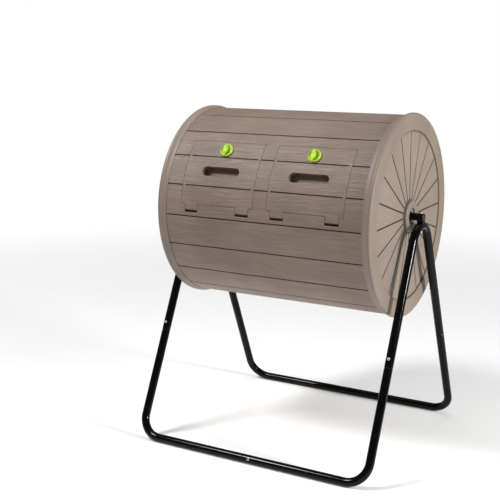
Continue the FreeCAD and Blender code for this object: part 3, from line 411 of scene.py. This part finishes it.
def plain_plastic(name, dark, light, rough_low, rough_high, speck):
    """Moulded plastic with a faint cloud in its colour and a fine skin."""
    shader = Shader(name)
    cloud = shader.noise(shader.object_point(), 28.0, 4.0, 0.6)
    color = shader.ramp(cloud, [(0.3, dark), (0.7, light)])
    # Sharp edges painted paler: a painted highlight.
    color = painted_edge_highlight(shader, color, brightened(light, 1.25, 0.02), 0.0008, 0.4)
    rough = shader.span(cloud, 0.3, 0.7, rough_low, rough_high)
    normal = shader.bump(moulded_speck(shader, speck), 0.00008, 0.5, shader.soft_edges(0.0007))
    return shader.finish(Base_Color=color, Roughness=rough, Normal=normal)


def green_plastic(name):
    """Lime green, slightly glossy plastic of the knobs and latches."""
    shader = Shader(name)
    cloud = shader.noise(shader.object_point(), 60.0, 3.0)
    color = shader.ramp(cloud, [(0.3, (0.36, 0.56, 0.020)), (0.7, (0.47, 0.66, 0.040))])
    rough = shader.span(cloud, 0.3, 0.7, 0.26, 0.36)
    normal = shader.bump(moulded_speck(shader, 1300.0), 0.00006, 0.4, shader.soft_edges(0.0009))
    return shader.finish(Base_Color=color, Roughness=rough, Normal=normal,
                         Subsurface_Weight=0.08, Subsurface_Scale=0.004,
                         Coat_Weight=0.2, Coat_Roughness=0.12)


# --------------------------------------------------------------- dressing

def dress(names, material):
    """Give one material to CAD nodes."""
    for name in names:
        mesh = NODES[name].data
        mesh.materials.clear()
        mesh.materials.append(material)
        for polygon in mesh.polygons:
            polygon.material_index = 0


def both(name):
    """Names of the left and right nodes of a mirrored pair."""
    return [name + "_left", name + "_right"]


SHELL_DARK = (0.172, 0.120, 0.091)
SHELL_LIGHT = (0.262, 0.192, 0.150)
CAP_DARK = (0.208, 0.162, 0.128)
CAP_LIGHT = (0.270, 0.216, 0.174)

dress(
    ["door_panel", "shell_panel_top", "shell_panel_back", "shell_panel_bottom",
     "shell_panel_front"],
    grained_plastic("plank_plastic", SHELL_DARK, SHELL_LIGHT, 1.0),
)
dress(both("door"), grained_plastic("door_plastic", SHELL_DARK, SHELL_LIGHT, 63.0))
dress(both("end_cap"), cap_plastic("cap_plastic", CAP_DARK, CAP_LIGHT))
dress(
    both("a_frame") + both("base_front") + both("base_rear"),
    black_coat("stand_coat", (0.0008, 0.0008, 0.0010), 0.10, 0.17, 0.36),
)
dress(["axle_tube"], black_coat("axle_coat", (0.003, 0.003, 0.0035), 0.25, 0.4, 0.2))
dress(both("axle_saddle"), black_coat("saddle_coat", (0.003, 0.003, 0.0035), 0.3, 0.45, 0.15))
dress(both("axle_plug"), plain_plastic(
    "plug_plastic", (0.008, 0.008, 0.008), (0.016, 0.016, 0.016), 0.38, 0.5, 900.0))
dress(both("hub_bushing"), plain_plastic(
    "bushing_plastic", (0.012, 0.012, 0.012), (0.03, 0.03, 0.03), 0.4, 0.55, 900.0))
dress(["chamber_divider"], plain_plastic(
    "divider_plastic", (0.10, 0.074, 0.058), (0.15, 0.115, 0.092), 0.5, 0.65, 500.0))
dress(both("hinge_pin"), drawn_rod("pin_steel"))
dress(both("knob") + both("latch_cam"), green_plastic("knob_plastic"))
dress(
    ["axle_bolts", "axle_nuts", "leg_buttons", "base_buttons", "seam_screws"]
    + both("cap_screws") + both("latch_screw"),
    plated_steel("plated_steel"),
)


# ------------------------------------------------------------------- knobs

# Outline of the round dial and its shaft, as radius and height above the seat.
KNOB_PROFILE = [
    (0.0, 0.0030), (0.0118, 0.0030), (0.0146, 0.0038), (0.0160, 0.0062), (0.0172, 0.0072),
    (0.0184, 0.0068), (0.0196, 0.0053), (0.0200, 0.0034), (0.0200, 0.0012), (0.0192, 0.0),
    (0.0060, 0.0), (0.0060, -0.0119), (0.0, -0.0119),
]
# Sections through the grip, as height, half width and half length.
GRIP_LEVELS = [
    (0.0022, 0.0064, 0.0158), (0.0080, 0.0060, 0.0157), (0.0140, 0.0052, 0.0154),
    (0.0172, 0.0042, 0.0148), (0.0184, 0.0026, 0.0136),
]
GRIP_CROWN = 0.0006
SEAT_GAP = 0.0004
KNOB_SEAT = SHELL_RADIUS + SEAT_GAP
WELD_DISTANCE = 0.00002
SMOOTH_ANGLE = math.radians(40)


def skin(build, rings):
    """Close a stack of rings into a solid; a ring of one point is a tip."""
    rows = [[build.verts.new(point) for point in ring] for ring in rings]
    for low, high in zip(rows, rows[1:]):
        count = max(len(low), len(high))
        for step in range(count):
            corners = [low[step % len(low)], low[(step + 1) % count % len(low)],
                       high[(step + 1) % count % len(high)], high[step % len(high)]]
            build.faces.new(list(dict.fromkeys(corners)))
    bmesh.ops.recalc_face_normals(build, faces=build.faces)


def round_ring(radius, height, segments=64):
    """Circle of points, or the single point at its centre."""
    if radius == 0.0:
        return [(0.0, 0.0, height)]
    turns = [2 * math.pi * (step + 0.5) / segments for step in range(segments)]
    return [(radius * math.cos(turn), radius * math.sin(turn), height) for turn in turns]


def pointed_ring(height, half_width, half_length, segments=48):
    """Pointed oval: two curved sides that meet at a tip at each end."""
    ring = []
    for step in range(segments):
        turn = 2 * math.pi * step / segments
        side = math.cos(turn) * abs(math.cos(turn))
        ring.append((half_width * side, half_length * math.sin(turn), height))
    return ring


def solid_piece(name, rings):
    """New object made from a closed stack of rings."""
    build = bmesh.new()
    skin(build, rings)
    mesh = bpy.data.meshes.new(name)
    build.to_mesh(mesh)
    build.free()
    piece = bpy.data.objects.new(name, mesh)
    bpy.context.scene.collection.objects.link(piece)
    return piece


def joined(first, second):
    """Union of two solids as one clean mesh; the second object is removed."""
    union = first.modifiers.new("union", "BOOLEAN")
    union.operation = "UNION"
    union.solver = "EXACT"
    union.object = second
    seen = bpy.context.evaluated_depsgraph_get()
    mesh = bpy.data.meshes.new_from_object(first.evaluated_get(seen))
    first.modifiers.clear()
    build = bmesh.new()
    build.from_mesh(mesh)
    bmesh.ops.remove_doubles(build, verts=build.verts, dist=WELD_DISTANCE)
    bmesh.ops.dissolve_degenerate(build, edges=build.edges, dist=WELD_DISTANCE)
    bmesh.ops.triangulate(build, faces=build.faces)
    build.to_mesh(mesh)
    build.free()
    first.data = mesh
    bpy.data.objects.remove(second)
    return first


def detailed_knob(side, material):
    """Round knob with a raised rim and a pointed-oval grip, on its shaft."""
    joint = JOINTS["knob_%s_turn" % side]
    outward = Vector(joint["axis"]).normalized()
    along = Vector((1.0, 0.0, 0.0))
    upward = outward.cross(along)
    axle = Vector((joint["pos_m"][0], 0.0, AXLE_HEIGHT))
    dial = solid_piece("knob_dial_" + side, [round_ring(*step) for step in KNOB_PROFILE])
    top_height = GRIP_LEVELS[-1][0] + GRIP_CROWN
    rings = [[(0.0, 0.0, GRIP_LEVELS[0][0])]]
    rings += [pointed_ring(*level) for level in GRIP_LEVELS]
    rings.append([(0.0, 0.0, top_height)])
    knob = joined(dial, solid_piece("knob_grip_" + side, rings))
    place = Matrix((along, upward, outward)).transposed().to_4x4()
    place.translation = axle + outward * KNOB_SEAT
    knob.data.transform(place)
    for polygon in knob.data.polygons:
        polygon.use_smooth = True
    knob.data.set_sharp_from_angle(angle=SMOOTH_ANGLE)
    knob.data.materials.clear()
    knob.data.materials.append(material)
    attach(knob, "knob_" + side)
    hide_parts("knob_" + side)


lime = green_plastic("dial_plastic")
for side in ("left", "right"):
    detailed_knob(side, lime)


# ------------------------------------------------------------------ studio

def studio_floor():
    """Pale round floor that fades out into the white surroundings."""
    build = bmesh.new()
    bmesh.ops.create_circle(
        build, cap_ends=True, segments=FLOOR_SEGMENTS, radius=FLOOR_RADIUS
    )
    mesh = bpy.data.meshes.new("studio_floor")
    build.to_mesh(mesh)
    build.free()
    floor = bpy.data.objects.new("studio_floor", mesh)
    bpy.context.scene.collection.objects.link(floor)
    shader = Shader("studio_paper")
    point = shader.object_point()
    cloud = shader.noise(point, 3.0, 3.0)
    color = shader.ramp(cloud, [(0.3, (0.93, 0.93, 0.925)), (0.7, (0.95, 0.95, 0.945))])
    parts = shader.split(point)
    squares = shader.math("ADD", shader.math("POWER", parts["X"], 2.0),
                          shader.math("POWER", parts["Y"], 2.0))
    away = shader.math("SQRT", squares)
    solid = shader.span(away, FLOOR_FADE_START, FLOOR_FADE_END, 1.0, 0.0)
    shader.finish(Base_Color=color, Roughness=0.7, Specular_IOR_Level=0.2, Alpha=solid,
                  Emission_Color=(1.0, 1.0, 1.0, 1.0), Emission_Strength=FLOOR_GLOW)
    mesh.materials.append(shader.material)


def soft_light(name, place, target, width, height, power):
    """White rectangular light at a place, aimed at a target."""
    data = bpy.data.lights.new(name, "AREA")
    data.shape = "RECTANGLE"
    data.size = width
    data.size_y = height
    data.energy = power
    light = bpy.data.objects.new(name, data)
    bpy.context.scene.collection.objects.link(light)
    aim = Vector(target) - Vector(place)
    light.location = place
    light.rotation_euler = aim.to_track_quat("-Z", "Y").to_euler()
    return light


def studio_world(strength):
    """Soft even light all round, and a pure white backdrop to look at."""
    bpy.context.scene.view_settings.view_transform = "Standard"
    world = bpy.data.worlds.new("studio_world")
    world.use_nodes = True
    tree = world.node_tree
    background = tree.nodes["Background"]
    background.inputs["Color"].default_value = (1.0, 1.0, 1.0, 1.0)
    seen = tree.nodes.new("ShaderNodeLightPath")
    level = tree.nodes.new("ShaderNodeMapRange")
    level.inputs["To Min"].default_value = strength
    level.inputs["To Max"].default_value = 1.0
    tree.links.new(seen.outputs["Is Camera Ray"], level.inputs["Value"])
    tree.links.new(level.outputs["Result"], background.inputs["Strength"])
    bpy.context.scene.world = world


def photo_camera():
    """Camera at the front right, a little above the axle."""
    back = Vector((
        math.sin(CAMERA_TURN) * math.cos(CAMERA_TILT),
        -math.cos(CAMERA_TURN) * math.cos(CAMERA_TILT),
        math.sin(CAMERA_TILT),
    ))
    level_right = Vector((math.cos(CAMERA_TURN), math.sin(CAMERA_TURN), 0.0))
    level_up = back.cross(level_right)
    right = level_right * math.cos(CAMERA_ROLL) + level_up * math.sin(CAMERA_ROLL)
    up = level_up * math.cos(CAMERA_ROLL) - level_right * math.sin(CAMERA_ROLL)
    data = bpy.data.cameras.new("photo_camera")
    data.lens = CAMERA_LENS
    data.sensor_width = CAMERA_SENSOR
    camera = bpy.data.objects.new("photo_camera", data)
    camera.matrix_world = Matrix((
        (right.x, up.x, back.x, CAMERA_PLACE.x),
        (right.y, up.y, back.y, CAMERA_PLACE.y),
        (right.z, up.z, back.z, CAMERA_PLACE.z),
        (0.0, 0.0, 0.0, 1.0),
    ))
    bpy.context.scene.collection.objects.link(camera)
    bpy.context.scene.camera = camera


studio_floor()
studio_world(0.22)
soft_light("key_left", (-1.85, -1.8, 3.45), (0.0, 0.0, 0.8), 0.9, 0.9, 118.0)
soft_light("key_right", (3.3, -0.30, 1.45), (0.3, 0.0, 0.7), 0.40, 0.6, 112.0)
soft_light("top", (-0.2, 0.7, 3.5), (0.0, 0.0, 0.0), 2.4, 2.0, 16.0)
photo_camera()
